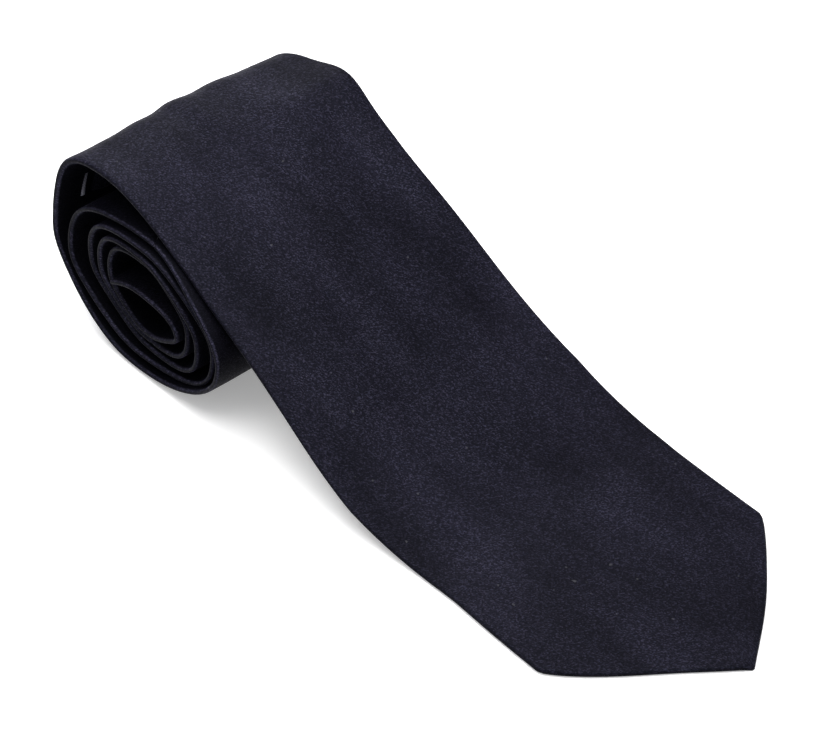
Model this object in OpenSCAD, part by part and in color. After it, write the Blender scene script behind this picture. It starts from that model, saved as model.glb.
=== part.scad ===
// Necktie rolled up from its narrow end, with the wide blade laid out flat in front.
// +X runs along the blade to its point, +Y across it, +Z up.
// The origin is on the table under the middle of the whole object.
// Every piece is swept along one centreline: table, slope, crest, then the roll.

/* [Blade] */
// Widest width, at the two corners of the point
blade_w = 85; // [71:1:102]
// Length of the point, from its corners to its end
tip_len = 38; // [32:1:46]
// Length of blade that lies flat on the table
land_run = 78; // [65:1:94]
// Horizontal run of the slope past the roll's foot, down to the table
drape_run = 82; // [68:1:98]
// Width of the strip where it passes over the crest
crest_w = 78; // [65:1:94]

/* [Roll] */
// Height of the roll
roll_h = 60; // [50:1:72]
// Width of the roll's outer turn, along the blade
roll_w = 79; // [66:1:95]
// How far the outer turn reaches past the crest
nose_r = 17; // [14:1:20]
// Gap between neighbouring turns where they lie on each other
turn_gap = 0.5; // [0.45:0.05:0.6]
// Height of the open eye in the middle of the roll
eye_h = 16; // [14:0.5:19]
// Width of that eye
eye_w = 20.5; // [18:0.5:24]
// Hollow between the outer turn and the second turn at the top
top_slack = 10; // [8.5:0.5:12]
// Further hollow between those two turns at the nose
side_slack = 3.5; // [2.9:0.1:4.2]
// How far the roll's flush end stands out past the blade's edge
flush_proud = 2.5; // [0:0.5:4]
// How much lower the roll is at its other end, as a share of its height
far_shrink = 0.06; // [0:0.01:0.09]

/* [Strip] */
// Width of the neck, the narrowest stretch
neck_w = 40; // [34:1:48]
// Width of the narrow tail end
tail_w = 46; // [38:1:55]
// Length of the tail's very shallow point
tail_tip_len = 3; // [2.5:0.5:3.5]
// Thickness of the finished strip
strip_t = 2.8; // [2.3:0.1:3.4]
// Thickness of the outer fabric
shell_t = 0.5; // [0.4:0.05:0.6]
// Thickness of the lining that shows in the open ends
tipping_t = 0.15; // [0.1:0.05:0.2]
// Gap left between layers
ply_gap = 0.1; // [0.05:0.05:0.15]
// Gap under the tacks and the keeper loop, where the strip's back bends in short steps
tack_lift = 0.2; // [0.18:0.02:0.3]

/* [Back] */
// Distance from the blade's end to the tack that closes its back
blade_tack_at = 150; // [130:1:170]
// Distance from the tail's end to its tack
tail_tack_at = 70; // [58:1:84]
// Width of the fabric turned over at the edges of an open end
hem_w = 9; // [7:0.5:11]
// Gap between the two back flaps at the middle seam
seam_gap = 1; // [0.8:0.1:1.2]
// Length of a tack across the seam
tack_len = 8; // [6:0.5:10]
// Distance from the crest to the keeper loop, measured along the strip
keeper_past_crest = 27; // [22:1:33]
// Width of the keeper loop, along the strip
keeper_w = 10; // [8:0.5:12]
// Free room between the keeper loop and the strip's back
keeper_room = 1.1; // [0.9:0.1:1.3]
// Bare margin of the strip beside each end of the keeper loop
keeper_margin = 9; // [7:0.5:11]
// Distance from the crest to the seam between blade and neck panels, along the strip
front_seam_past_crest = 195; // [170:5:220]
// Length of the tail panel, from its seam to the tail's end
tail_panel_len = 140; // [120:5:165]

/* [Hidden] */

satin = "#1d1e2b";
lining = "#15151d";
wool = "#2a2a30";
thread = "#101016";

half_t = strip_t / 2;
slope_run = roll_w - nose_r + drape_run;
crest_x = land_run + slope_run;
roll_left = crest_x + nose_r;
flush_end = blade_w / 2 + flush_proud;
pitch = strip_t + turn_gap;
end_phase = 0.2;
turns = end_phase + floor(0.3 + (roll_h - strip_t - top_slack - eye_h) / (2 * pitch));
side_pitch = (roll_w - strip_t - eye_w - side_slack) / (2 * turns - 1);
body_gap = 0.4;
thread_t = 0.3;
tack_w = 1.4;
seam_slant = 0.6;
blunt_w = 4;
round_power = 2.1;
corner_power = 0.4;
slope_room = 1.25;
point_bow = 1.1;
tail_drop = 5.5;
edge_drift_len = 50;
blade_rings = 38;
turn_rings = 40;
probe = 0.002;

// The centreline in the XZ plane. v runs 0 to 1 along the blade, then 1 more for each turn.
function smooth(k) = let (c = max(0, min(1, k))) c * c * (3 - 2 * c);
function signed_pow(k, e) = sign(k) * pow(abs(k), e);
function slope_z(x) = half_t + (roll_h - strip_t) * smooth((-x - land_run) / slope_run);
function blade_pt(v) = [-crest_x * v, slope_z(-crest_x * v)];
function left_x(u) =
    half_t - roll_left + side_slack * smooth(u - 0.25) + side_pitch * max(0, u - 0.25);
function right_x(u) = roll_w - roll_left - half_t - side_pitch * max(0, u - 0.75);
function floor_z(u) = half_t + pitch * max(0, u - 0.5);
function top_z(u) =
    roll_h - half_t - top_slack * smooth((u - 0.25) * 2) - pitch * max(0, u - 0.5)
    - tail_drop * smooth((u - turns + 0.9) * 2);
// The roll is pressed askew: full at its upper nose and lower foot, slack in between
function turn_pt(u) =
    let (
        angle = 90 + 360 * u,
        square = 2 / (round_power - corner_power * sin(2 * angle)),
        first = u < 0.25,
        mid_x = first ? -crest_x : (left_x(u) + right_x(u)) / 2,
        half_x = first ? nose_r - half_t : (right_x(u) - left_x(u)) / 2,
        mid_z = (top_z(u) + floor_z(u)) / 2,
        half_z = (top_z(u) - floor_z(u)) / 2
    )
    [
        mid_x + half_x * signed_pow(cos(angle), square),
        mid_z + half_z * signed_pow(sin(angle), square)
    ];
// The shoulder faces the slope. It sinks as far as it must to stay under the blade.
function shoulder(u) =
    let (angle = 90 + 360 * u)
    cos(angle) > 0 && sin(angle) > 0 ? pow(sin(2 * angle), 2) : 0;
sink = max([
    0,
    for (u = [0.79 : 0.01 : 0.96])
        let (p = turn_pt(u))
        (p[1] + slope_room * pitch - slope_z(p[0])) / shoulder(u)
]);
function roll_pt(u) = turn_pt(u) - [0, sink * shoulder(u)];
function line_pt(v) = v < 1 ? blade_pt(v) : roll_pt(v - 1);
function heading(v) =
    let (step = line_pt(v + probe) - line_pt(v - probe))
    step / norm(step);

// Stations along the centreline, with the distance walked from the blade's end
stations = concat(
    [for (i = [0 : blade_rings]) i / blade_rings],
    [for (i = [1 : turn_rings * turns]) 1 + i / turn_rings]
);
hops = [
    for (i = [0 : len(stations) - 1])
        i == 0 ? 0 : norm(line_pt(stations[i]) - line_pt(stations[i - 1]))
];
walked = [for (i = 0, s = 0; i < len(hops); i = i + 1, s = s + (i < len(hops) ? hops[i] : 0)) s];
station_at = [for (i = [0 : len(stations) - 1]) [walked[i], stations[i]]];
total_len = walked[len(walked) - 1];
crest_at = walked[blade_rings];
tail_corner_at = total_len - tail_tip_len;
keeper_at = crest_at + keeper_past_crest;
front_seam_at = crest_at + front_seam_past_crest;
rear_seam_at = total_len - tail_panel_len;

// Width of the strip, and the place of its left edge
body_widths = [
    [tip_len, blade_w],
    [crest_at, crest_w],
    [front_seam_at, (crest_w + neck_w) / 2],
    [rear_seam_at, neck_w],
    [tail_corner_at, tail_w]
];
function point_width(k) = 1 - pow(1 - k, point_bow);
function width(s) =
    s < tip_len ? max(blunt_w, blade_w * point_width(s / tip_len))
    : s > tail_corner_at ? max(blunt_w, tail_w * point_width((total_len - s) / tail_tip_len))
    : lookup(s, body_widths);
function full_width(s) = lookup(min(s, tail_corner_at), body_widths);
function mid_y(s) =
    (full_width(s) / 2 - flush_end) * smooth((s - crest_at) / edge_drift_len);

// A point of the strip: s along it, y from its middle line, h above its centreline.
// It is straight between two stations, so that layers cut anywhere still lie on each other.
// The roll and the slope get lower away from the flush end, about the roll's foot.
function at(s, y, h) =
    let (
        v = lookup(s, station_at),
        hop = v < 1 ? 1 / blade_rings : 1 / turn_rings,
        before = floor(v / hop + probe) * hop,
        share = max(0, v - before) / hop,
        p = line_pt(before) * (1 - share) + line_pt(before + hop) * share,
        dir = heading(before) * (1 - share) + heading(before + hop) * share,
        side = mid_y(s) + y,
        keep = 1 - far_shrink * (side + flush_end) / blade_w * smooth((s - land_run) / slope_run),
        foot_x = roll_w - roll_left
    )
    [
        foot_x + (p[0] + dir[1] * h - foot_x) * keep + roll_left / 2,
        side + (flush_end - blade_w / 2) / 2,
        half_t + (p[1] - half_t) * keep - dir[0] * h
    ];

// A closed solid through rings of points. Each ring goes out along one side of its
// section and back along the other, so its end is closed by quads between the two sides.
module loft(rings) {
    n = len(rings[0]);
    last = (len(rings) - 1) * n;
    near_end = [
        for (j = [0 : n / 2 - 2])
            each [[j, j + 1, n - 1 - j], [j + 1, n - 2 - j, n - 1 - j]]
    ];
    far_end = [for (face = near_end) [last + face[2], last + face[1], last + face[0]]];
    sides = [
        for (i = [0 : n : last - n], j = [0 : n - 1])
            let (a = i + j, b = i + (j + 1) % n)
            each [[a, a + n, b], [b, a + n, b + n]]
    ];
    polyhedron(points = [for (ring = rings) each ring], faces = concat(near_end, far_end, sides));
}

// Ring places from one distance to another: both ends, the two points' corners if they
// lie between, and every station that isn't close to one of those
function between(s0, s1) =
    let (
        corners = [for (s = [tip_len, tail_corner_at]) if (s > s0 && s < s1) s],
        kept = concat([s0], corners, [s1])
    )
    concat(
        [s0],
        [
            for (s = sort_in(walked, corners))
                if (s > s0 && s < s1 && (is_corner(s) || clear_of(s, kept))) s
        ],
        [s1]
    );
function is_corner(s) = s == tip_len || s == tail_corner_at;
function clear_of(s, kept) = min([for (k = kept) abs(s - k)]) > 1.5;
function sort_in(list, extra) =
    len(extra) == 0 ? list
    : let (
        x = extra[0],
        merged = concat([for (s = list) if (s < x) s], [x], [for (s = list) if (s > x) s])
    )
    len(extra) == 1 ? merged : sort_in(merged, [for (i = [1 : len(extra) - 1]) extra[i]]);

// Half the opening between the back flaps: a V at each open end, the seam elsewhere
function opening(s) =
    let (
        seam = seam_gap / 2,
        from_end = min(s - tip_len, (tail_corner_at - s) * 2),
        tack_run = s < crest_at ? blade_tack_at - tip_len : (tail_tack_at - tail_tip_len) * 2,
        wide = max(seam, width(s) / 2 - hem_w)
    )
    max(seam, wide * (1 - max(0, from_end) / tack_run));

// The outer fabric: front, two folded edges and two back flaps
module shell(s0, s1) {
    loft([
        for (s = between(s0, s1))
            let (
                a = width(s) / 2,
                b = a - shell_t,
                g = min(opening(s), b - 0.4),
                o = half_t,
                i = half_t - shell_t
            )
            [
                at(s, -g, -o), at(s, -a, -o), at(s, -a, o), at(s, a, o), at(s, a, -o), at(s, g, -o),
                at(s, g, -i), at(s, b, -i), at(s, b, i), at(s, -b, i), at(s, -b, -i), at(s, -g, -i)
            ]
    ]);
}

// A flat band between two heights, with an inset from the strip's edges
module band(s0, s1, inset, low, high) {
    loft([
        for (s = between(s0, s1))
            let (a = width(s) / 2 - inset)
            [at(s, -a, high), at(s, a, high), at(s, a, low), at(s, -a, low)]
    ]);
}

// A short bar across the strip, bent to follow it
module cross_bar(s, half_len, bar_w, low, high, slant = 0) {
    steps = 24;
    loft([
        for (i = [0 : steps])
            let (
                y = half_len * (2 * i / steps - 1),
                c = s + slant * y
            )
            [
                at(c - bar_w / 2, y, high), at(c - bar_w / 2, y, low),
                at(c + bar_w / 2, y, low), at(c + bar_w / 2, y, high)
            ]
    ]);
}

inner_h = half_t - shell_t - ply_gap;
lining_h = tipping_t + ply_gap;
core_inset = shell_t + 3 * ply_gap;

module interlining(s0, s1) {
    color(wool)
        band(s0, s1, core_inset, lining_h - inner_h, inner_h);
}

module slip_stitch(s0, s1) {
    color(thread)
        loft([
            for (s = between(s0, s1))
                let (a = thread_t, low = ply_gap - half_t, high = low + thread_t)
                [at(s, -a, high), at(s, a, high), at(s, a, low), at(s, -a, low)]
        ]);
}

module bar_tack(s) {
    color(thread)
        cross_bar(s, tack_len / 2, tack_w, -half_t - tack_lift - thread_t, -half_t - tack_lift);
}

blade_end = crest_at - body_gap / 2;
roll_start = crest_at + body_gap / 2;
tip_start = blunt_w / blade_w * tip_len;
lining_start = hem_w;

module blade_shell() {
    color(satin)
        shell(tip_start, blade_end);
}

module blade_interlining() {
    interlining(lining_start, blade_end);
}

module blade_tipping() {
    color(lining)
        band(lining_start, blade_tack_at + hem_w, core_inset, -inner_h, tipping_t - inner_h);
}

module blade_bar_tack() {
    bar_tack(blade_tack_at);
}

module blade_slip_stitch() {
    slip_stitch(blade_tack_at + tack_w, blade_end);
}

module outer_turn_shell() {
    color(satin)
        shell(roll_start, front_seam_at - ply_gap);
}

module outer_turn_interlining() {
    interlining(roll_start, front_seam_at - ply_gap);
}

module outer_turn_slip_stitch() {
    slip_stitch(roll_start, front_seam_at - ply_gap);
}

// A band of the outer fabric across the back, held at both ends and open between them
module keeper_loop() {
    half_len = width(keeper_at) / 2 - keeper_margin;
    foot = 4;
    base = -half_t - tack_lift;
    raised = base - keeper_room;
    skin = shell_t;
    outline = [
        [-half_len, base], [foot - half_len, base], [foot * 2 - half_len, raised],
        [half_len - foot * 2, raised], [half_len - foot, base], [half_len, base],
        [half_len, base - skin], [half_len - foot, base - skin],
        [half_len - foot * 2, raised - skin], [foot * 2 - half_len, raised - skin],
        [foot - half_len, base - skin], [-half_len, base - skin]
    ];
    color(satin)
        loft([
            for (k = [-0.5 : 0.25 : 0.5])
                [for (q = outline) at(keeper_at + k * keeper_w, q[0], q[1])]
        ]);
}

// The two stitched bars that hold the keeper loop's ends
module keeper_loop_tacks() {
    half_len = width(keeper_at) / 2 - keeper_margin;
    top = -half_t - 2 * tack_lift - shell_t;
    color(thread)
        for (side = [-1, 1])
            loft([
                for (k = [-0.4 : 0.2 : 0.4])
                    let (
                        s = keeper_at + k * keeper_w,
                        y = side * (half_len - 2)
                    )
                    [
                        at(s, y - tack_w / 2, top), at(s, y + tack_w / 2, top),
                        at(s, y + tack_w / 2, top - thread_t), at(s, y - tack_w / 2, top - thread_t)
                    ]
            ]);
}

// The stitched line across a joint between two panels, cut on the bias
module bias_seam(s) {
    color(thread)
        cross_bar(
            s, width(s) / 2 - 3, 1, half_t + ply_gap, half_t + ply_gap + thread_t / 2, seam_slant
        );
}

module front_bias_seam() {
    bias_seam(front_seam_at);
}

module neck_shell() {
    color(satin)
        shell(front_seam_at, rear_seam_at - ply_gap);
}

module neck_interlining() {
    interlining(front_seam_at, rear_seam_at - ply_gap);
}

module neck_slip_stitch() {
    slip_stitch(front_seam_at, rear_seam_at - ply_gap);
}

module rear_bias_seam() {
    bias_seam(rear_seam_at);
}

module tail_shell() {
    color(satin)
        shell(rear_seam_at, total_len - blunt_w / tail_w * tail_tip_len);
}

module tail_interlining() {
    interlining(rear_seam_at, total_len - lining_start);
}

module tail_slip_stitch() {
    slip_stitch(rear_seam_at, total_len - tail_tack_at - tack_w);
}

module tail_tipping() {
    color(lining)
        band(
            total_len - tail_tack_at - hem_w, total_len - lining_start,
            core_inset, -inner_h, tipping_t - inner_h
        );
}

module tail_bar_tack() {
    bar_tack(total_len - tail_tack_at);
}

blade_shell();
blade_interlining();
blade_tipping();
blade_bar_tack();
blade_slip_stitch();
outer_turn_shell();
outer_turn_interlining();
outer_turn_slip_stitch();
keeper_loop();
keeper_loop_tacks();
front_bias_seam();
neck_shell();
neck_interlining();
neck_slip_stitch();
rear_bias_seam();
tail_shell();
tail_interlining();
tail_slip_stitch();
tail_tipping();
tail_bar_tack();
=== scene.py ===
import math

import bpy
import numpy as np
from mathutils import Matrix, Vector


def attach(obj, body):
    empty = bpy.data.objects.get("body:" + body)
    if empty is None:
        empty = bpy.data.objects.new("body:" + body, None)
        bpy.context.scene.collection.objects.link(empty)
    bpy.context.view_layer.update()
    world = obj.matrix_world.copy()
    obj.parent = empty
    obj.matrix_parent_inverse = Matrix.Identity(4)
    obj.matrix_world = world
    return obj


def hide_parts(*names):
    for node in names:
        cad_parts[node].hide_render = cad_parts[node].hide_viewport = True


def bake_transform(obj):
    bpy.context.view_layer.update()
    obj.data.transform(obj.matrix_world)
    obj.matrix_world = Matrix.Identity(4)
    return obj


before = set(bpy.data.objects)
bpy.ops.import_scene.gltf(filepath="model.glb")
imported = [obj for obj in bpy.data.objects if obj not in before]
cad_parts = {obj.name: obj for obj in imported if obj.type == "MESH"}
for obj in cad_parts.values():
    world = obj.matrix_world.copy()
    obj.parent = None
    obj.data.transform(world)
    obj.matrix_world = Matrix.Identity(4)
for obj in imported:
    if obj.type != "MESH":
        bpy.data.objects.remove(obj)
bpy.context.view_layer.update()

# ---------------------------------------------------------------------------
# Sizes in millimetres. The first groups repeat the driving sizes of the CAD
# source, so that every piece is swept along the same centreline.
# ---------------------------------------------------------------------------
MM = 0.001

# Blade and slope
BLADE_W = 85.0
TIP_LEN = 38.0
LAND_RUN = 78.0
DRAPE_RUN = 82.0
CREST_W = 78.0

# Roll
ROLL_H = 60.0
ROLL_W = 79.0
NOSE_R = 17.0
FLUSH_PROUD = 2.5
FAR_SHRINK = 0.06

# Strip from the crest to the tail
NECK_W = 40.0
TAIL_W = 46.0
TAIL_TIP_LEN = 3.0
STRIP_T = 2.8
TURN_GAP = 0.5
TURNS = 5.25

# Where the sewing is
BLADE_TACK_AT = 150.0
TAIL_TACK_AT = 70.0
HEM_W = 9.0
KEEPER_PAST_CREST = 27.0
KEEPER_W = 10.0
KEEPER_ROOM = 1.1
KEEPER_MARGIN = 9.0
FRONT_SEAM_PAST_CREST = 195.0
TAIL_PANEL_LEN = 140.0

# Worked out from the sizes above
HALF_T = STRIP_T / 2
SLOPE_RUN = ROLL_W - NOSE_R + DRAPE_RUN
CREST_X = LAND_RUN + SLOPE_RUN
ROLL_LEFT = CREST_X + NOSE_R
FOOT_X = ROLL_W - ROLL_LEFT
FLUSH_END = BLADE_W / 2 + FLUSH_PROUD
PITCH = STRIP_T + TURN_GAP

# How the turns lie: the slack over the second turn, the fall of the inner turns' tops and of the tail
TOP_SLACK = 9.0
INNER_PITCH = 2.5
TAIL_DROP = 8.4
TAIL_DROP_TURNS = 0.9
# Steps of the left and the right wall from one turn to the next, outermost first
LEFT_STEPS = [8.6, 8.3, 4.8, 4.2, 1.6]
RIGHT_STEPS = [-5.0, -5.6, -4.8, -3.6, -3.6]
# Roundness of the turns, and how much squarer one pair of corners is than the other up to each turn
ROUND_POWER = 2.1
SQUARE_UNTIL = [0.25, 0.5, 0.75, 4.5]
SQUARENESS = [0.60, 0.46, -0.05, 0.50]
EYE_SQUARENESS = -0.45

# What only the cloth needs
BELLY_W = 87.0
CLOTH_T = 0.34
CORE_GAP = 0.08
TIPPING_T = 0.15
FOLD_R = 1.15
LAP_UNDER = 3.2
LAP_OVER = 1.6
LAP_RISE = 0.4
SEAM_SLANT = 0.6
SEAM_DIP = 0.22
SEAM_HAIR = 0.06
POINT_BOW = 1.22
POINT_SPREAD = 2.2
CORNER_ROUND = 0.7
SPLIT_TURN = 0.56
RING_STEP = 1.7
CROWN = 0.35


# ---------------------------------------------------------------------------
# The centreline: table, slope, crest and roll, in the XZ plane
# ---------------------------------------------------------------------------
def smooth(k):
    c = np.clip(k, 0.0, 1.0)
    return c * c * (3 - 2 * c)


def signed_pow(k, e):
    return np.sign(k) * np.abs(k) ** e


def hill(k, top_at, reach):
    """A smooth bump of height 1 at top_at."""
    return np.exp(-(((k - top_at) / reach) ** 2))


def per_turn(first, steps, u, phase):
    """A size that changes from turn to turn: its value at u = phase, then one step a turn."""
    marks = first + np.concatenate([[0.0], np.cumsum(steps)])
    return np.interp(u - phase, np.arange(len(marks)), marks)


def blade_line(run):
    rise = (ROLL_H - STRIP_T) * smooth((run - LAND_RUN) / SLOPE_RUN)
    return np.stack([-run, HALF_T + rise], axis=-1)


def roll_line(u):
    """Points of the roll u turns after the crest: rounded rectangles that shrink from turn to turn."""
    angle = np.radians(90 + 360 * u)
    corner = -np.sin(2 * angle)
    squareness = np.select([u < end for end in SQUARE_UNTIL], SQUARENESS, EYE_SQUARENESS)
    power = 2 / (ROUND_POWER + squareness * corner)
    left = per_turn(HALF_T - ROLL_LEFT, LEFT_STEPS, u, 0.25)
    right = per_turn(FOOT_X - HALF_T, RIGHT_STEPS, u, 0.75)
    low = per_turn(HALF_T, [PITCH] * len(LEFT_STEPS), u, 0.5)
    top = (
        ROLL_H - HALF_T - TOP_SLACK * smooth((u - 0.25) * 2) - INNER_PITCH * np.maximum(0, u - 0.5)
        - TAIL_DROP * smooth((u - TURNS + TAIL_DROP_TURNS) * 2)
    )
    first = u < 0.25
    mid_x = np.where(first, -CREST_X, (left + right) / 2)
    half_x = np.where(first, NOSE_R - HALF_T, (right - left) / 2)
    mid_z = (top + low) / 2
    half_z = (top - low) / 2
    return np.stack(
        [
            mid_x + half_x * signed_pow(np.cos(angle), power),
            mid_z + half_z * signed_pow(np.sin(angle), power),
        ],
        axis=-1,
    )


runs = np.linspace(0, CREST_X, 600)
turns = np.linspace(0, TURNS, 4200)[1:]
LINE = np.concatenate([blade_line(runs), roll_line(turns)])
WALKED = np.concatenate([[0], np.cumsum(np.linalg.norm(np.diff(LINE, axis=0), axis=1))])
CREST_AT = WALKED[len(runs) - 1]
TOTAL_LEN = WALKED[-1]
TAIL_CORNER_AT = TOTAL_LEN - TAIL_TIP_LEN
KEEPER_AT = CREST_AT + KEEPER_PAST_CREST
FRONT_SEAM_AT = CREST_AT + FRONT_SEAM_PAST_CREST
REAR_SEAM_AT = TOTAL_LEN - TAIL_PANEL_LEN
SPLIT_AT = float(np.interp(SPLIT_TURN, turns, WALKED[len(runs):]))


def unit_headings():
    step = np.gradient(LINE, WALKED, axis=0)
    for _ in range(12):
        step[1:-1] = (step[:-2] + 2 * step[1:-1] + step[2:]) / 4
    return step / np.linalg.norm(step, axis=1)[:, None]


HEADING = unit_headings()
WIDTH_MARKS = [TIP_LEN, 70, 110, 150, 190, CREST_AT, FRONT_SEAM_AT, REAR_SEAM_AT, TAIL_CORNER_AT]
WIDTHS = [BLADE_W - 0.5, 84.0, BELLY_W, 83.4, 79.2, CREST_W - 0.5, (CREST_W + NECK_W) / 2, NECK_W, TAIL_W]


def soft_min(a, b, round_mm):
    gap = np.clip((b - a + round_mm) / (2 * round_mm), 0, 1)
    return b + (a - b) * gap - round_mm * gap * (1 - gap)


def full_width(s):
    return np.interp(s, WIDTH_MARKS, WIDTHS)


def point_width(k):
    return 1 - (1 - np.clip(k, 0, 1)) ** POINT_BOW


def width(s):
    """Width of the strip, with its two points and their barely rounded corners."""
    tail_left = TOTAL_LEN - s
    blade_point = BLADE_W * point_width(s / TIP_LEN) + np.maximum(0, s - TIP_LEN) * POINT_SPREAD
    tail_point = (
        TAIL_W * point_width(tail_left / TAIL_TIP_LEN)
        + np.maximum(0, tail_left - TAIL_TIP_LEN) * POINT_SPREAD
    )
    w = soft_min(soft_min(full_width(s), blade_point, CORNER_ROUND), tail_point, CORNER_ROUND)
    return np.maximum(w, 0.9)


def side_shift(s):
    """The middle of the strip moves sideways so that the roll's near end stays flush, with
    small uneven steps from turn to turn as in a strip rolled by hand."""
    past_crest = s - CREST_AT
    flush = (full_width(s) / 2 - FLUSH_END) * (
        0.7 * smooth((past_crest + 14) / 46) + 0.3 * smooth((past_crest - 20) / 50)
    )
    outer_turn = smooth((past_crest - 45) / 40) * (1 - smooth((past_crest - 130) / 50))
    inner_turns = smooth((past_crest - 130) / 50) * (1 - 0.8 * smooth((s - TOTAL_LEN + 60) / 50))
    uneven = 1.4 + 0.7 * np.sin(s / 31.0 + 0.6) + 0.6 * np.sin(s / 17.3 + 2.1)
    blade = 1.1 * hill(s, 13, 10) + 0.9 * hill(s, 80, 20) - 0.5 * hill(s, 120, 22) - 0.8 * hill(s, 190, 22)
    return flush + blade - outer_turn + inner_turns * uneven


def waves(s, y):
    """Slight waves of the cloth and fine streaks along it, on the blade and fading in the roll."""
    free = smooth((s - 50) / 60) * (1 - 0.75 * smooth((s - CREST_AT) / 60))
    wave = (
        0.40 * np.sin(s / 27.0 + y / 19.0 + 0.7)
        + 0.30 * np.sin(s / 14.0 - y / 23.0 + 2.4)
        + 0.12 * np.sin(s / 8.1 + y / 9.0)
    )
    streak = (
        0.10 * np.sin(y / 2.1 + s / 41.0 + 1.3 * np.sin(s / 33.0))
        + 0.12 * np.sin(y / 3.7 - s / 29.0 + 1.1 * np.sin(s / 47.0 + 1.0))
    )
    return free * (wave + streak)


def swell(s, y):
    """The crest swells unevenly, and most towards the roll's far end; the slope sags behind it."""
    before_crest = CREST_AT - s
    crest = (
        2.2 * np.tanh((y - 2) / 12)
        + 0.4 * smooth((y - 6) / 20)
        + 2.4 * smooth((y - 26) / 14)
        + 1.5 * hill(y, -1, 5)
        + 0.9 * hill(y, -15, 8)
    )
    far_edge = (
        4.6 * hill(before_crest, 17, 10) - 2.6 * hill(before_crest, 50, 20) - 1.0 * hill(before_crest, 96, 34)
    )
    return crest * hill(before_crest - 0.75 * y, 10, 32) + smooth((y - 2) / 36) * far_edge


def ripple(s, y):
    """How far the cloth stands out from the plain sweep."""
    return waves(s, y) + swell(s, y)


def place(s, y, h):
    """Row-frame points in metres: s along the strip, y from its middle, h above its line."""
    s, y, h = np.broadcast_arrays(*[np.asarray(a, float) for a in (s, y, h)])
    p_x = np.interp(s, WALKED, LINE[:, 0])
    p_z = np.interp(s, WALKED, LINE[:, 1])
    d_x = np.interp(s, WALKED, HEADING[:, 0])
    d_z = np.interp(s, WALKED, HEADING[:, 1])
    side = side_shift(s) + y
    keep = 1 - FAR_SHRINK * (side + FLUSH_END) / BLADE_W * smooth((s - LAND_RUN) / SLOPE_RUN)
    x = FOOT_X + (p_x + d_z * h - FOOT_X) * keep + ROLL_LEFT / 2
    z = HALF_T + (p_z - HALF_T) * keep - d_x * h
    return np.stack([x, side + (FLUSH_END - BLADE_W / 2) / 2, z], axis=-1) * MM


# ---------------------------------------------------------------------------
# The section of the strip
# ---------------------------------------------------------------------------
def thickness(s):
    body = 1.9 + 0.5 * smooth((s - 5) / 60) - 0.6 * smooth((s - CREST_AT) / 80)
    ends = np.minimum(s, TOTAL_LEN - s)
    return body * np.sqrt(np.clip((ends + 0.25) / 2.6, 0, 1))


def bottom(s):
    """Height of the back face. It lies on the table along the blade and is centred in the roll."""
    return -HALF_T + (HALF_T - thickness(s) / 2) * smooth((s - CREST_AT + 30) / 60)


def opening(s):
    """Half the V between the back flaps near each open end."""
    near_tail = s > CREST_AT
    from_end = np.where(near_tail, (TAIL_CORNER_AT - s) * 2, s - TIP_LEN)
    run = np.where(near_tail, (TAIL_TACK_AT - TAIL_TIP_LEN) * 2, BLADE_TACK_AT - TIP_LEN)
    wide = np.maximum(0.3, width(s) / 2 - HEM_W)
    return np.maximum(0.3, wide * (1 - np.clip(from_end, 0, None) / run))


def sewn(s):
    """1 where the back flaps are sewn over each other, 0 in the open ends."""
    return smooth((s - BLADE_TACK_AT + 7) / 12) * smooth((TOTAL_LEN - TAIL_TACK_AT + 7 - s) / 12)


def crown(y, half_w):
    """The front face is a little fuller in the middle than at its pressed edges."""
    return CROWN * (np.clip(1 - (y / half_w) ** 2, 0, 1) - 1)


N_FLAP, N_FOLD, N_FRONT = 13, 9, 58


def envelope_section(s, inset):
    """Columns of (y, h) round the folded cloth at each s: back flap, fold, front, fold, flap."""
    half_w = width(s) / 2
    low, thick = bottom(s), thickness(s)
    high = low + thick
    r = np.minimum(FOLD_R, half_w * 0.45)
    g = np.minimum(opening(s), np.maximum(half_w - r - 0.5, 0.05))
    join = sewn(s)
    under = -g * (1 - join) + LAP_UNDER * join
    over = g * (1 - join) - LAP_OVER * join
    ys, hs = [], []
    for k in np.linspace(0, 1, N_FLAP)[:-1]:
        ys.append(under + (-(half_w - r) - under) * k)
        hs.append(low + inset)
    for angle in np.linspace(-90, 90, N_FOLD):
        c, q = math.cos(math.radians(angle)), math.sin(math.radians(angle))
        ys.append(-(half_w - r) - (r - inset) * c)
        hs.append((low + high) / 2 + (thick / 2 - inset) * q + crown(-(half_w - r), half_w) * (q > 0) * q)
    for k in np.linspace(-1, 1, N_FRONT)[1:-1]:
        y = (half_w - r) * k
        ys.append(y)
        hs.append(high - inset + crown(y, half_w))
    for angle in np.linspace(90, -90, N_FOLD):
        c, q = math.cos(math.radians(angle)), math.sin(math.radians(angle))
        ys.append((half_w - r) + (r - inset) * c)
        hs.append((low + high) / 2 + (thick / 2 - inset) * q + crown(half_w - r, half_w) * (q > 0) * q)
    for k in np.linspace(0, 1, N_FLAP)[1:]:
        y = (half_w - r) + (over - (half_w - r)) * k
        ys.append(y)
        hs.append(low + inset - LAP_RISE * join * smooth((8.5 - y) / 5))
    return np.stack(ys, axis=1), np.stack(hs, axis=1)


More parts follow.
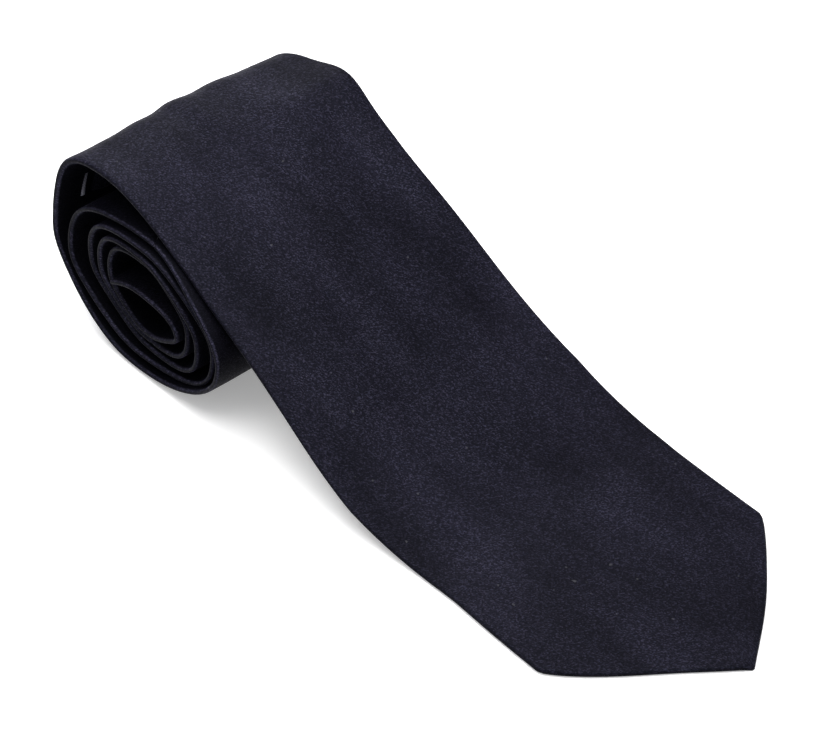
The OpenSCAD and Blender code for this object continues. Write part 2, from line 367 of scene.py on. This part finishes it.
def painted_shade_and_highlight(s):
    """How much painted shade or painted highlight the cloth gets at each column of the section: 1 is full
    painted shade, 0 is plain, and below 0 is a painted highlight. In the roll each fold has two painted
    highlight lines with painted shade in the hollow between them, the back is painted dark as shade, and so
    are the turns that lie under others."""
    bend = np.linspace(-90, 90, N_FOLD)[None, :]
    in_roll = smooth((s - CREST_AT + 10) / 30)[:, None]
    # Painted shade on turns that lie under others, and on the back: a little on the blade, fully in the roll
    painted_shade_covered = 0.86 * smooth((s - CREST_AT - 70) / 30)[:, None]
    painted_shade_back = 0.15 + 0.85 * in_roll
    # Each fold: painted shade in its middle, two painted highlight lines in the roll, painted shade where it
    # meets the back and a covered front
    side = (
        0.85 * hill(bend, 0, 30)
        - hill(np.abs(bend), 56, 16) * in_roll
        + hill(bend, -90, 14) * painted_shade_back
        + hill(bend, 90, 14) * painted_shade_covered
    )
    flap = np.tile(painted_shade_back, (1, N_FLAP - 1))
    front = np.tile(painted_shade_covered, (1, N_FRONT - 2))
    return np.concatenate([flap, side, front, side[:, ::-1], flap], axis=1)


def ring_places(s0, s1, fine_start=False, fine_end=False):
    marks = list(np.linspace(s0, s1, max(4, int(round((s1 - s0) / RING_STEP)))))
    extra = [0.2, 0.5, 0.9, 1.4, 2.0, 2.8]
    if fine_start:
        marks += [s0 + e for e in extra]
    if fine_end:
        marks += [s1 - e for e in extra]
    return np.array(sorted(marks))


# ---------------------------------------------------------------------------
# Meshes
# ---------------------------------------------------------------------------
def new_object(name, verts, faces, material, uv=None, painted_light=None):
    mesh = bpy.data.meshes.new(name)
    mesh.from_pydata([tuple(v) for v in verts], [], faces)
    if uv is not None:
        layer = mesh.uv_layers.new(name="cloth")
        corner = np.zeros(len(mesh.loops), dtype=np.int32)
        mesh.loops.foreach_get("vertex_index", corner)
        layer.data.foreach_set("uv", np.asarray(uv, np.float32)[corner].ravel())
    # Painted shade and painted highlight for each point, kept as a mesh attribute
    if painted_light is not None:
        mesh.attributes.new("painted_light", "FLOAT", "POINT").data.foreach_set("value", np.ravel(painted_light))
    mesh.validate()
    mesh.shade_smooth()
    mesh.set_sharp_from_angle(angle=math.radians(50))
    mesh.materials.append(material)
    obj = bpy.data.objects.new(name, mesh)
    bpy.context.scene.collection.objects.link(obj)
    return obj


def grid_faces(rows, cols, start=0, flip=False):
    faces = []
    for i in range(rows - 1):
        for j in range(cols - 1):
            a = start + i * cols + j
            quad = (a, a + cols, a + cols + 1, a + 1)
            faces.append(quad[::-1] if flip else quad)
    return faces


def two_sided(outer, inner):
    """Faces of a closed sheet from two grids of points with the same rows and columns."""
    rows, cols = outer.shape[:2]
    n = rows * cols
    faces = grid_faces(rows, cols, 0, True) + grid_faces(rows, cols, n)
    for i in range(rows - 1):
        for j, flip in ((0, False), (cols - 1, True)):
            a = i * cols + j
            quad = (a, a + cols, n + a + cols, n + a)
            faces.append(quad[::-1] if flip else quad)
    for j in range(cols - 1):
        for i, flip in ((0, True), (rows - 1, False)):
            a = i * cols + j
            quad = (a, a + 1, n + a + 1, n + a)
            faces.append(quad[::-1] if flip else quad)
    verts = np.concatenate([outer.reshape(-1, 3), inner.reshape(-1, 3)])
    return verts, faces


def slanted(s, y, lean_start, lean_end, s0, s1):
    """Panels are cut on the bias, so an end may lean: s shifts with y near that end."""
    near_start = np.clip(1 - (s - s0) / 60, 0, 1)
    near_end = np.clip(1 - (s1 - s) / 60, 0, 1)
    return s + y * (lean_start * near_start + lean_end * near_end)


def cloth_panel(name, s0, s1, material, lean=(0, 0), groove=(0, 0), fine=(False, False)):
    """One panel of the outer fabric: front, two rolled folds and two back flaps."""
    s = ring_places(s0, s1, *fine)
    if groove[0]:
        s = np.sort(np.append(s, [s0 + 0.35, s0 + 0.8]))
    if groove[1]:
        s = np.sort(np.append(s, [s1 - 0.35, s1 - 0.8]))
    layers = []
    for inset in (0.0, CLOTH_T):
        y, h = envelope_section(s, inset)
        along = slanted(s[:, None], y, lean[0], lean[1], s0, s1)
        middle = (bottom(s) + thickness(s) / 2)[:, None]
        dip = groove[0] * (1 - smooth((s - s0) / 1.0)) + groove[1] * (1 - smooth((s1 - s) / 1.0))
        h = h + np.sign(middle - h) * dip[:, None]
        layers.append(place(along, y, h + ripple(along, y)))
    verts, faces = two_sided(layers[0], layers[1])
    y, _ = envelope_section(s, 0.0)
    across = np.cumsum(
        np.concatenate([np.zeros((len(s), 1)), np.abs(np.diff(y, axis=1)) + 0.08], axis=1), axis=1
    )
    across -= across[:, across.shape[1] // 2][:, None]
    uv = np.stack([np.broadcast_to(s[:, None], y.shape), across], axis=-1).reshape(-1, 2)
    # Painted shade and painted highlight for each column of the section
    painted_light = painted_shade_and_highlight(s)
    return new_object(
        name, verts, faces, material, np.concatenate([uv, uv]) * MM, np.concatenate([painted_light, painted_light])
    )


def core_band(name, s0, s1, material, low_fn, high_fn):
    """A flat inner layer with rounded edges between two heights."""
    s = ring_places(s0, s1)
    half_w = np.maximum(width(s) / 2 - CORE_INSET, 0.15)
    cols = np.sin(np.linspace(-90, 90, 19) * math.pi / 180)
    y = half_w[:, None] * cols[None, :]
    low, high = low_fn(s)[:, None], high_fn(s)[:, None]
    middle = (low + high) / 2
    edge = np.sqrt(np.clip(1 - np.abs(cols) ** 12, 0, 1))[None, :]
    reach = (high - low) / 2 * (0.12 + 0.88 * edge)
    top = place(s[:, None], y, middle + reach + ripple(s[:, None], y))
    under = place(s[:, None], y, middle - reach + ripple(s[:, None], y))
    verts, faces = two_sided(top, under)
    uv = np.stack([np.broadcast_to(s[:, None], y.shape), y], axis=-1).reshape(-1, 2)
    return new_object(name, verts, faces, material, np.concatenate([uv, uv]) * MM)


def strands(name, paths, radius, material, sides=8):
    """Threads: one closed tube with rounded ends along each path of points in metres."""
    verts, faces = [], []
    for path in paths:
        path = np.asarray(path, float)
        count = len(path)
        along = np.gradient(path, axis=0)
        along /= np.linalg.norm(along, axis=1)[:, None]
        aside = np.cross(along, np.cross(along[0], along[count // 2]) + [0.13, 0.21, 0.97])
        aside /= np.linalg.norm(aside, axis=1)[:, None]
        up = np.cross(along, aside)
        taper = np.ones(count)
        taper[[0, -1]] = 0.35
        start = len(verts)
        for k in range(count):
            for a in np.linspace(0, 2 * math.pi, sides, endpoint=False):
                offset = (aside[k] * math.cos(a) + up[k] * math.sin(a)) * radius * MM * taper[k]
                verts.append(path[k] + offset)
        for k in range(count - 1):
            for j in range(sides):
                a = start + k * sides + j
                b = start + k * sides + (j + 1) % sides
                faces.append((a, b, b + sides, a + sides))
        faces.append(tuple(start + j for j in reversed(range(sides))))
        faces.append(tuple(start + (count - 1) * sides + j for j in range(sides)))
    return new_object(name, verts, faces, material)


# ---------------------------------------------------------------------------
# Materials
# ---------------------------------------------------------------------------
def node_tools(name):
    material = bpy.data.materials.new(name)
    material.use_nodes = True
    tree = material.node_tree
    shader = tree.nodes["Principled BSDF"]

    def add(kind, inputs=(), **settings):
        node = tree.nodes.new(kind)
        for key, value in settings.items():
            setattr(node, key, value)
        for key, value in dict(inputs).items():
            if hasattr(value, "is_output"):
                tree.links.new(value, node.inputs[key])
            else:
                node.inputs[key].default_value = value
        return node

    def link(a, b):
        tree.links.new(a, b)

    return material, shader, add, link


# Colour of the painted shade, and of the lint flecks
PAINTED_SHADE_COLOUR = (0.0005, 0.0005, 0.0009, 1)
LINT = (0.09, 0.09, 0.10, 1)
# How much painted shade is laid on, and how strongly the painted highlight lines brighten the cloth
PAINTED_SHADE_SHARE = 0.93
PAINTED_HIGHLIGHT_GAIN = 2.0
# Placing, turn and stretch of the soft patches of painted sheen, in the cloth's own flat metres
PAINTED_SHEEN_SHIFT = (0.02, 0.013, 0)
PAINTED_SHEEN_TURN = (0, 0, 0.12)
PAINTED_SHEEN_STRETCH = (0.4, 1.0, 1.0)


def woven(
    name, dark, light, yarn_mm, roughness, sheen, sheen_tint, bump, fleck=0.0, twill=1.0, painted_sheen_patches=0.0
):
    """Woven cloth: fine diagonal ribs, floats of uneven tone, soft patches of painted sheen along the strip,
    a few flecks of lint, and the painted shade and painted highlight that the mesh attribute marks."""
    material, shader, add, link = node_tools(name)
    yarn = yarn_mm * MM

    def weighted(value, weight, rest):
        node = add("ShaderNodeMath", {0: value, 1: weight, 2: rest}, operation="MULTIPLY_ADD")
        return node.outputs[0]

    def remap(value, low, high, to_low, to_high):
        ends = {"From Min": low, "From Max": high, "To Min": to_low, "To Max": to_high}
        return add("ShaderNodeMapRange", {"Value": value, **ends}).outputs["Result"]

    def blended(factor, a, b):
        return add("ShaderNodeMix", {0: factor, 6: a, 7: b}, data_type="RGBA").outputs[2]

    def scaled(colour, factor):
        return add("ShaderNodeVectorMath", {0: colour, "Scale": factor}, operation="SCALE").outputs[0]

    def mapped(vector, **moves):
        return add("ShaderNodeMapping", {"Vector": vector, **moves}).outputs["Vector"]

    def noise(vector, scale, detail, **more):
        inputs = {"Vector": vector, "Scale": scale, "Detail": detail, **more}
        return add("ShaderNodeTexNoise", inputs).outputs["Fac"]

    flat = add("ShaderNodeUVMap", uv_map="cloth").outputs["UV"]
    place_3d = add("ShaderNodeTexCoord").outputs["Object"]
    on_bias = mapped(flat, Rotation=(0, 0, math.radians(45)))
    ribs = add(
        "ShaderNodeTexWave",
        {"Vector": on_bias, "Scale": 0.3142 / yarn, "Distortion": 1.6, "Detail": 2.0, "Detail Scale": 1.4},
        wave_type="BANDS",
        bands_direction="X",
    )
    floats = add(
        "ShaderNodeTexVoronoi",
        {"Vector": mapped(on_bias, Scale=(1.0, 1.7, 1.0)), "Scale": 0.85 / yarn},
        voronoi_dimensions="2D",
    )
    chance = add("ShaderNodeSeparateColor", {"Color": floats.outputs["Color"]})
    rare = add("ShaderNodeMath", {0: chance.outputs["Red"], 1: 4.0}, operation="POWER")

    weave = weighted(ribs.outputs["Fac"], 0.12 * twill, 0.0)
    weave = weighted(rare.outputs[0], 1.5, weave)
    weave = weighted(noise(place_3d, 1500.0, 2.0, Roughness=0.7), 0.6, weave)
    weave = weighted(noise(place_3d, 24.0, 3.0), 0.3, weave)

    yarn_light = blended(chance.outputs["Green"], light[0], light[1])
    cloth = blended(remap(weave, 0.45, 1.9, 0.0, 1.0), dark, yarn_light)
    # Painted sheen: soft lighter and darker patches scale the base colour
    painted_sheen_sweep = noise(
        mapped(flat, Location=PAINTED_SHEEN_SHIFT, Rotation=PAINTED_SHEEN_TURN, Scale=PAINTED_SHEEN_STRETCH), 52.0, 2.0
    )
    cloth = scaled(cloth, remap(painted_sheen_sweep, 0.3, 0.7, 1 - painted_sheen_patches, 1 + painted_sheen_patches))
    if fleck:
        cloth = blended(remap(noise(place_3d, 620.0, 0.0), 0.85, 0.89, 0.0, fleck), cloth, LINT)

    # Painted shade and painted highlight, read from the mesh attribute
    painted_light = add("ShaderNodeAttribute", attribute_name="painted_light").outputs["Fac"]
    cloth = blended(weighted(painted_light, PAINTED_SHADE_SHARE, 0.0), cloth, PAINTED_SHADE_COLOUR)
    painted_highlight_scale = add("ShaderNodeMath", {0: weighted(painted_light, -PAINTED_HIGHLIGHT_GAIN, 1.0), 1: 1.0}, operation="MAXIMUM")
    link(scaled(cloth, painted_highlight_scale.outputs[0]), shader.inputs["Base Color"])
    link(remap(weave, 0.5, 1.5, roughness + 0.08, roughness - 0.08), shader.inputs["Roughness"])
    relief = add("ShaderNodeBump", {"Height": weave, "Strength": bump, "Distance": yarn * 0.25})
    link(relief.outputs["Normal"], shader.inputs["Normal"])
    shader.inputs["Specular IOR Level"].default_value = 0.06
    shader.inputs["IOR"].default_value = 1.38
    shader.inputs["Specular Tint"].default_value = (0.75, 0.78, 1.0, 1)
    shader.inputs["Sheen Weight"].default_value = sheen
    shader.inputs["Sheen Roughness"].default_value = 0.45
    shader.inputs["Sheen Tint"].default_value = sheen_tint
    return material


def thread_material(name, dark, light):
    """Twisted sewing thread."""
    material, shader, add, link = node_tools(name)
    place_3d = add("ShaderNodeTexCoord").outputs["Object"]
    twist = add("ShaderNodeTexNoise", {"Vector": place_3d, "Scale": 4200.0, "Detail": 2.0}).outputs["Fac"]
    colour = add("ShaderNodeMix", {0: twist, 6: dark, 7: light}, data_type="RGBA")
    link(colour.outputs[2], shader.inputs["Base Color"])
    relief = add("ShaderNodeBump", {"Height": twist, "Strength": 0.5, "Distance": 0.08 * MM})
    link(relief.outputs["Normal"], shader.inputs["Normal"])
    shader.inputs["Roughness"].default_value = 0.5
    shader.inputs["Sheen Weight"].default_value = 0.15
    return material


SATIN = woven(
    "satin_navy",
    dark=(0.0026, 0.0026, 0.0046, 1),
    light=((0.0172, 0.0176, 0.0312, 1), (0.0220, 0.0194, 0.0322, 1)),
    yarn_mm=0.34, roughness=0.5, sheen=0.006, sheen_tint=(0.5, 0.47, 1.0, 1), bump=0.9,
    # Strength of the lint flecks and of the painted sheen patches
    fleck=0.3, painted_sheen_patches=0.4,
)
LINING = woven(
    "lining_black",
    dark=(0.003, 0.003, 0.006, 1),
    light=((0.017, 0.017, 0.028, 1), (0.019, 0.018, 0.028, 1)),
    yarn_mm=0.22, roughness=0.36, sheen=0.05, sheen_tint=(0.6, 0.65, 1.0, 1), bump=0.3, twill=0.5,
)
WOOL = woven(
    "wool_charcoal",
    dark=(0.02, 0.02, 0.022, 1),
    light=((0.075, 0.075, 0.08, 1), (0.085, 0.08, 0.08, 1)),
    yarn_mm=0.9, roughness=0.85, sheen=0.3, sheen_tint=(0.9, 0.9, 1.0, 1), bump=0.9, twill=0.3,
)
THREAD = thread_material("thread_black", (0.004, 0.004, 0.006, 1), (0.016, 0.016, 0.022, 1))
PALE_THREAD = thread_material("thread_pale", (0.10, 0.10, 0.13, 1), (0.45, 0.45, 0.55, 1))


# ---------------------------------------------------------------------------
# The cloth panels
# ---------------------------------------------------------------------------
END_INSET = 0.4
TAIL_END_AT = TOTAL_LEN - END_INSET

blade_panel = cloth_panel("blade_panel", END_INSET, SPLIT_AT, SATIN, fine=(True, False))
outer_turn_panel = cloth_panel(
    "outer_turn_panel", SPLIT_AT, FRONT_SEAM_AT - SEAM_HAIR, SATIN, lean=(0, SEAM_SLANT), groove=(0, SEAM_DIP)
)
neck_panel = cloth_panel(
    "neck_panel", FRONT_SEAM_AT + SEAM_HAIR, REAR_SEAM_AT - SEAM_HAIR, SATIN,
    lean=(SEAM_SLANT, SEAM_SLANT), groove=(SEAM_DIP, SEAM_DIP),
)
tail_panel = cloth_panel(
    "tail_panel", REAR_SEAM_AT + SEAM_HAIR, TAIL_END_AT, SATIN,
    lean=(SEAM_SLANT, 0), groove=(SEAM_DIP, 0), fine=(False, True),
)


# ---------------------------------------------------------------------------
# What is inside: interlining and tipping
# ---------------------------------------------------------------------------
def core_low(s):
    return bottom(s) + CLOTH_T + TIPPING_T + 3 * CORE_GAP


def core_high(s):
    return np.maximum(bottom(s) + thickness(s) - CLOTH_T - CORE_GAP - 0.35, core_low(s) + 0.05)


def tipping_low(s):
    return bottom(s) + CLOTH_T + CORE_GAP


def tipping_high(s):
    return tipping_low(s) + TIPPING_T


CORE_INSET = CLOTH_T + FOLD_R * 0.5
TIPPING_END = HEM_W * 0.6
TAIL_TIPPING_AT = TOTAL_LEN - TAIL_TACK_AT - HEM_W


def interlining(name, s0, s1):
    return core_band(name, s0, s1, WOOL, core_low, core_high)


def tipping(name, s0, s1):
    return core_band(name, s0, s1, LINING, tipping_low, tipping_high)


blade_interlining = interlining("blade_interlining_wool", HEM_W, SPLIT_AT)
outer_turn_interlining = interlining("outer_turn_interlining_wool", SPLIT_AT, FRONT_SEAM_AT)
neck_interlining = interlining("neck_interlining_wool", FRONT_SEAM_AT, REAR_SEAM_AT)
tail_interlining = interlining("tail_interlining_wool", REAR_SEAM_AT, TOTAL_LEN - HEM_W)
blade_tipping = tipping("blade_tipping_lining", TIPPING_END, BLADE_TACK_AT + HEM_W)
tail_tipping = tipping("tail_tipping_lining", TAIL_TIPPING_AT, TOTAL_LEN - TIPPING_END)


# ---------------------------------------------------------------------------
# Stitches
# ---------------------------------------------------------------------------
SLIP_STEP = 7.0
SLIP_LEN = 1.9
TACK_HALF = 4.0
TACK_STEP = 0.42
SEAM_STEP = 2.4
SEAM_STITCH_LEN = 1.7


def back_face(s):
    return bottom(s) - LAP_RISE * sewn(s)


def slip_stitches(name, s0, s1):
    """Hand slip stitches: short slanted threads that catch the upper flap's edge."""
    paths = []
    for s in np.arange(s0, s1 - 3, SLIP_STEP):
        along = np.linspace(0, 1, 6)
        y = -LAP_OVER - 0.9 + 1.7 * along
        lift = 0.16 * np.sin(math.pi * along)
        base = bottom(s) - 0.05 - LAP_RISE * smooth(along * 2.2 - 0.2)
        paths.append(place(s + SLIP_LEN * along, y, base - lift + ripple(s, y)))
    return strands(name, paths, 0.15, THREAD)


def bar_tack(name, s):
    """A short bar of stitches side by side across the seam."""
    paths = []
    for y in np.arange(-TACK_HALF, TACK_HALF + 0.01, TACK_STEP):
        along = np.linspace(-1, 1, 7)
        reach = 0.85 + 0.12 * math.sin(y * 5.0)
        lift = 0.32 * np.sqrt(np.clip(1 - along ** 2, 0, 1))
        base = back_face(s) - 0.02
        paths.append(place(s + reach * along, y + 0.14 * along, base - lift + ripple(s, y)))
    return strands(name, paths, 0.23, THREAD)


def seam_stitches(name, s):
    """Machine stitches sunk in the slanted seam between two panels, on the front face."""
    paths = []
    half_w = float(width(np.array([s]))[0]) / 2 - 2.5
    for y in np.arange(-half_w, half_w - SEAM_STEP / 2, SEAM_STEP):
        along = np.linspace(0, 1, 5)
        across = y + SEAM_STITCH_LEN * along
        front = bottom(s) + thickness(s) + crown(across, half_w + 2.5)
        lift = 0.05 * np.sin(math.pi * along) - 0.10
        paths.append(place(s + SEAM_SLANT * across, across, front + lift + ripple(s, across)))
    return strands(name, paths, 0.11, THREAD, 6)


blade_slip = slip_stitches("blade_slip_stitches", BLADE_TACK_AT + 4, SPLIT_AT)
outer_turn_slip = slip_stitches("outer_turn_slip_stitches", SPLIT_AT + 2, FRONT_SEAM_AT)
neck_slip = slip_stitches("neck_slip_stitches", FRONT_SEAM_AT + 3, REAR_SEAM_AT)
tail_slip = slip_stitches("tail_slip_stitches", REAR_SEAM_AT + 3, TOTAL_LEN - TAIL_TACK_AT - 2)
blade_tack = bar_tack("blade_bar_tack_stitches", BLADE_TACK_AT)
tail_tack = bar_tack("tail_bar_tack_stitches", TOTAL_LEN - TAIL_TACK_AT)
front_seam = seam_stitches("front_bias_seam_stitches", FRONT_SEAM_AT)
rear_seam = seam_stitches("rear_bias_seam_stitches", REAR_SEAM_AT)


# ---------------------------------------------------------------------------
# The keeper loop across the inside of the outer turn
# ---------------------------------------------------------------------------
def keeper_height(y, half_len):
    """Distance of the loop's inner skin from the strip's back: down at its ends, free between."""
    return 0.12 + KEEPER_ROOM * smooth((half_len - np.abs(y) - 3.5) / 5)


def make_keeper():
    half_len = float(width(np.array([KEEPER_AT]))[0]) / 2 - KEEPER_MARGIN
    skin = 0.75
    rows, cols = 46, 15
    y = np.linspace(-half_len, half_len, rows)[:, None]
    across = np.linspace(-1, 1, cols)[None, :]
    s = KEEPER_AT + across * KEEPER_W / 2
    back = back_face(s)
    round_edge = 0.10 + 0.90 * np.sqrt(np.clip(1 - np.abs(across) ** 6, 0, 1))
    round_end = np.sqrt(np.clip(1 - (np.abs(y) / half_len) ** 60, 0, 1)) * 0.8 + 0.2
    middle = back - keeper_height(y, half_len) - skin / 2
    half = skin / 2 * round_edge * round_end
    upper = place(s, y, middle + half)
    lower = place(s, y, middle - half)
    verts, faces = two_sided(lower, upper)
    uv = np.stack(np.broadcast_arrays(y, s), axis=-1).reshape(-1, 2)
    return new_object("keeper_loop_band", verts, faces, SATIN, np.concatenate([uv, uv]) * MM), half_len


def keeper_end_stitches(half_len):
    paths = []
    for side in (-1, 1):
        for s in np.arange(KEEPER_AT - 4.2, KEEPER_AT + 4.21, 0.6):
            along = np.linspace(-1, 1, 6)
            y = side * (half_len - 0.9) + 0.9 * along
            base = back_face(s) - 0.12 - 0.75
            lift = 0.16 * np.sqrt(np.clip(1 - along ** 2, 0, 1))
            paths.append(place(s + 0.1 * along, y, base - lift))
    return strands("keeper_loop_end_stitches", paths, 0.24, PALE_THREAD, 6)


keeper, keeper_half_len = make_keeper()
keeper_stitches = keeper_end_stitches(keeper_half_len)


for piece in (blade_panel, blade_interlining, blade_slip):
    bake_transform(piece)
for piece in (blade_tipping, blade_tack):
    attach(piece, "blade")
for piece in (
    outer_turn_panel, neck_panel, tail_panel, outer_turn_interlining, neck_interlining,
    tail_interlining, tail_tipping, outer_turn_slip, neck_slip, tail_slip, tail_tack,
    front_seam, rear_seam, keeper, keeper_stitches,
):
    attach(piece, "roll")

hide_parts("blade_shell", "outer_turn_shell")
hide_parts("outer_turn_shell")
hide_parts("neck_shell")
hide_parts("tail_shell")
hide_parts("blade_interlining", "outer_turn_interlining")
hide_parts("outer_turn_interlining")
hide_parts("neck_interlining")
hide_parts("tail_interlining")
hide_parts("blade_tipping")
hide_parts("tail_tipping")
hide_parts("blade_slip_stitch", "outer_turn_slip_stitch")
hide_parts("outer_turn_slip_stitch")
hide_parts("neck_slip_stitch")
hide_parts("tail_slip_stitch")
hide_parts("blade_bar_tack")
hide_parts("tail_bar_tack")
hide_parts("front_bias_seam")
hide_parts("rear_bias_seam")
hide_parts("keeper_loop")
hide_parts("keeper_loop_tacks")


# ---------------------------------------------------------------------------
# Floor, light and camera
# ---------------------------------------------------------------------------
FLOOR_HALF = 4.0
FLOOR_GLOW = 0.28
WORLD_STRENGTH = 0.56
CAMERA_LENS = 154.3
CAMERA_AZIMUTH = 47.37
CAMERA_ELEVATION = 43.3
CAMERA_DISTANCE = 1.0241
LOOK_AT = (-0.0249, 0.0157, 0.0)


def make_floor():
    """The table: off-white, and glowing faintly so that shadows on it stay pale."""
    material, shader, add, link = node_tools("floor_white")
    place_3d = add("ShaderNodeTexCoord")
    cloud = add("ShaderNodeTexNoise", {"Vector": place_3d.outputs["Object"], "Scale": 3.0})
    colour = add(
        "ShaderNodeMix",
        {0: cloud.outputs["Fac"], 6: (0.90, 0.90, 0.905, 1), 7: (0.92, 0.92, 0.925, 1)},
        data_type="RGBA",
    )
    link(colour.outputs[2], shader.inputs["Base Color"])
    shader.inputs["Roughness"].default_value = 0.85
    shader.inputs["Specular IOR Level"].default_value = 0.1
    shader.inputs["Emission Color"].default_value = (1, 1, 1, 1)
    shader.inputs["Emission Strength"].default_value = FLOOR_GLOW
    verts = [(x * FLOOR_HALF, y * FLOOR_HALF, 0) for x, y in ((-1, -1), (1, -1), (1, 1), (-1, 1))]
    floor = new_object("table", verts, [(0, 1, 2, 3)], material)


def direction(azimuth, elevation):
    """From a target back to the light or the camera; azimuth 0 stands in front, at -Y."""
    a, e = math.radians(azimuth), math.radians(elevation)
    return Vector((math.sin(a) * math.cos(e), -math.cos(a) * math.cos(e), math.sin(e)))


def area_light(name, target, azimuth, elevation, distance, size, power, colour):
    light = bpy.data.lights.new(name, "AREA")
    light.shape = "RECTANGLE"
    light.size, light.size_y = size
    light.energy = power
    light.color = colour
    obj = bpy.data.objects.new(name, light)
    back = direction(azimuth, elevation)
    obj.location = Vector(target) + back * distance
    obj.rotation_euler = (-back).to_track_quat("-Z", "Y").to_euler()
    bpy.context.scene.collection.objects.link(obj)


def make_camera():
    camera = bpy.data.cameras.new("camera")
    camera.sensor_width = 36.0
    camera.lens = CAMERA_LENS
    camera.clip_start, camera.clip_end = 0.05, 50
    obj = bpy.data.objects.new("camera", camera)
    back = direction(CAMERA_AZIMUTH, CAMERA_ELEVATION)
    obj.location = Vector(LOOK_AT) + back * CAMERA_DISTANCE
    obj.rotation_mode = "QUATERNION"
    obj.rotation_quaternion = (-back).to_track_quat("-Z", "Y")
    bpy.context.scene.collection.objects.link(obj)
    bpy.context.scene.camera = obj


def make_world():
    world = bpy.data.worlds.new("studio")
    world.use_nodes = True
    background = world.node_tree.nodes["Background"]
    background.inputs["Color"].default_value = (1.0, 1.0, 1.0, 1)
    background.inputs["Strength"].default_value = WORLD_STRENGTH
    bpy.context.scene.world = world


make_floor()
make_world()
area_light(
    "key", target=(-0.08, 0, 0.05), azimuth=40, elevation=80, distance=0.32, size=(0.3, 0.3),
    power=1.5, colour=(1.0, 0.99, 0.98),
)
area_light(
    "gloss", target=(-0.12, 0, 0.055), azimuth=235, elevation=42, distance=0.3, size=(0.2, 0.12),
    power=0.7, colour=(0.95, 0.97, 1.0),
)
area_light(
    "slope", target=(-0.04, 0.03, 0.035), azimuth=115, elevation=62, distance=0.3, size=(0.2, 0.2),
    power=0.42, colour=(0.97, 0.97, 1.0),
)
area_light(
    "fill", target=(-0.06, 0, 0.02), azimuth=60, elevation=66, distance=1.6, size=(1.2, 1.2),
    power=4.2, colour=(0.96, 0.98, 1.0),
)
make_camera()
bpy.context.scene.view_settings.view_transform = "Standard"
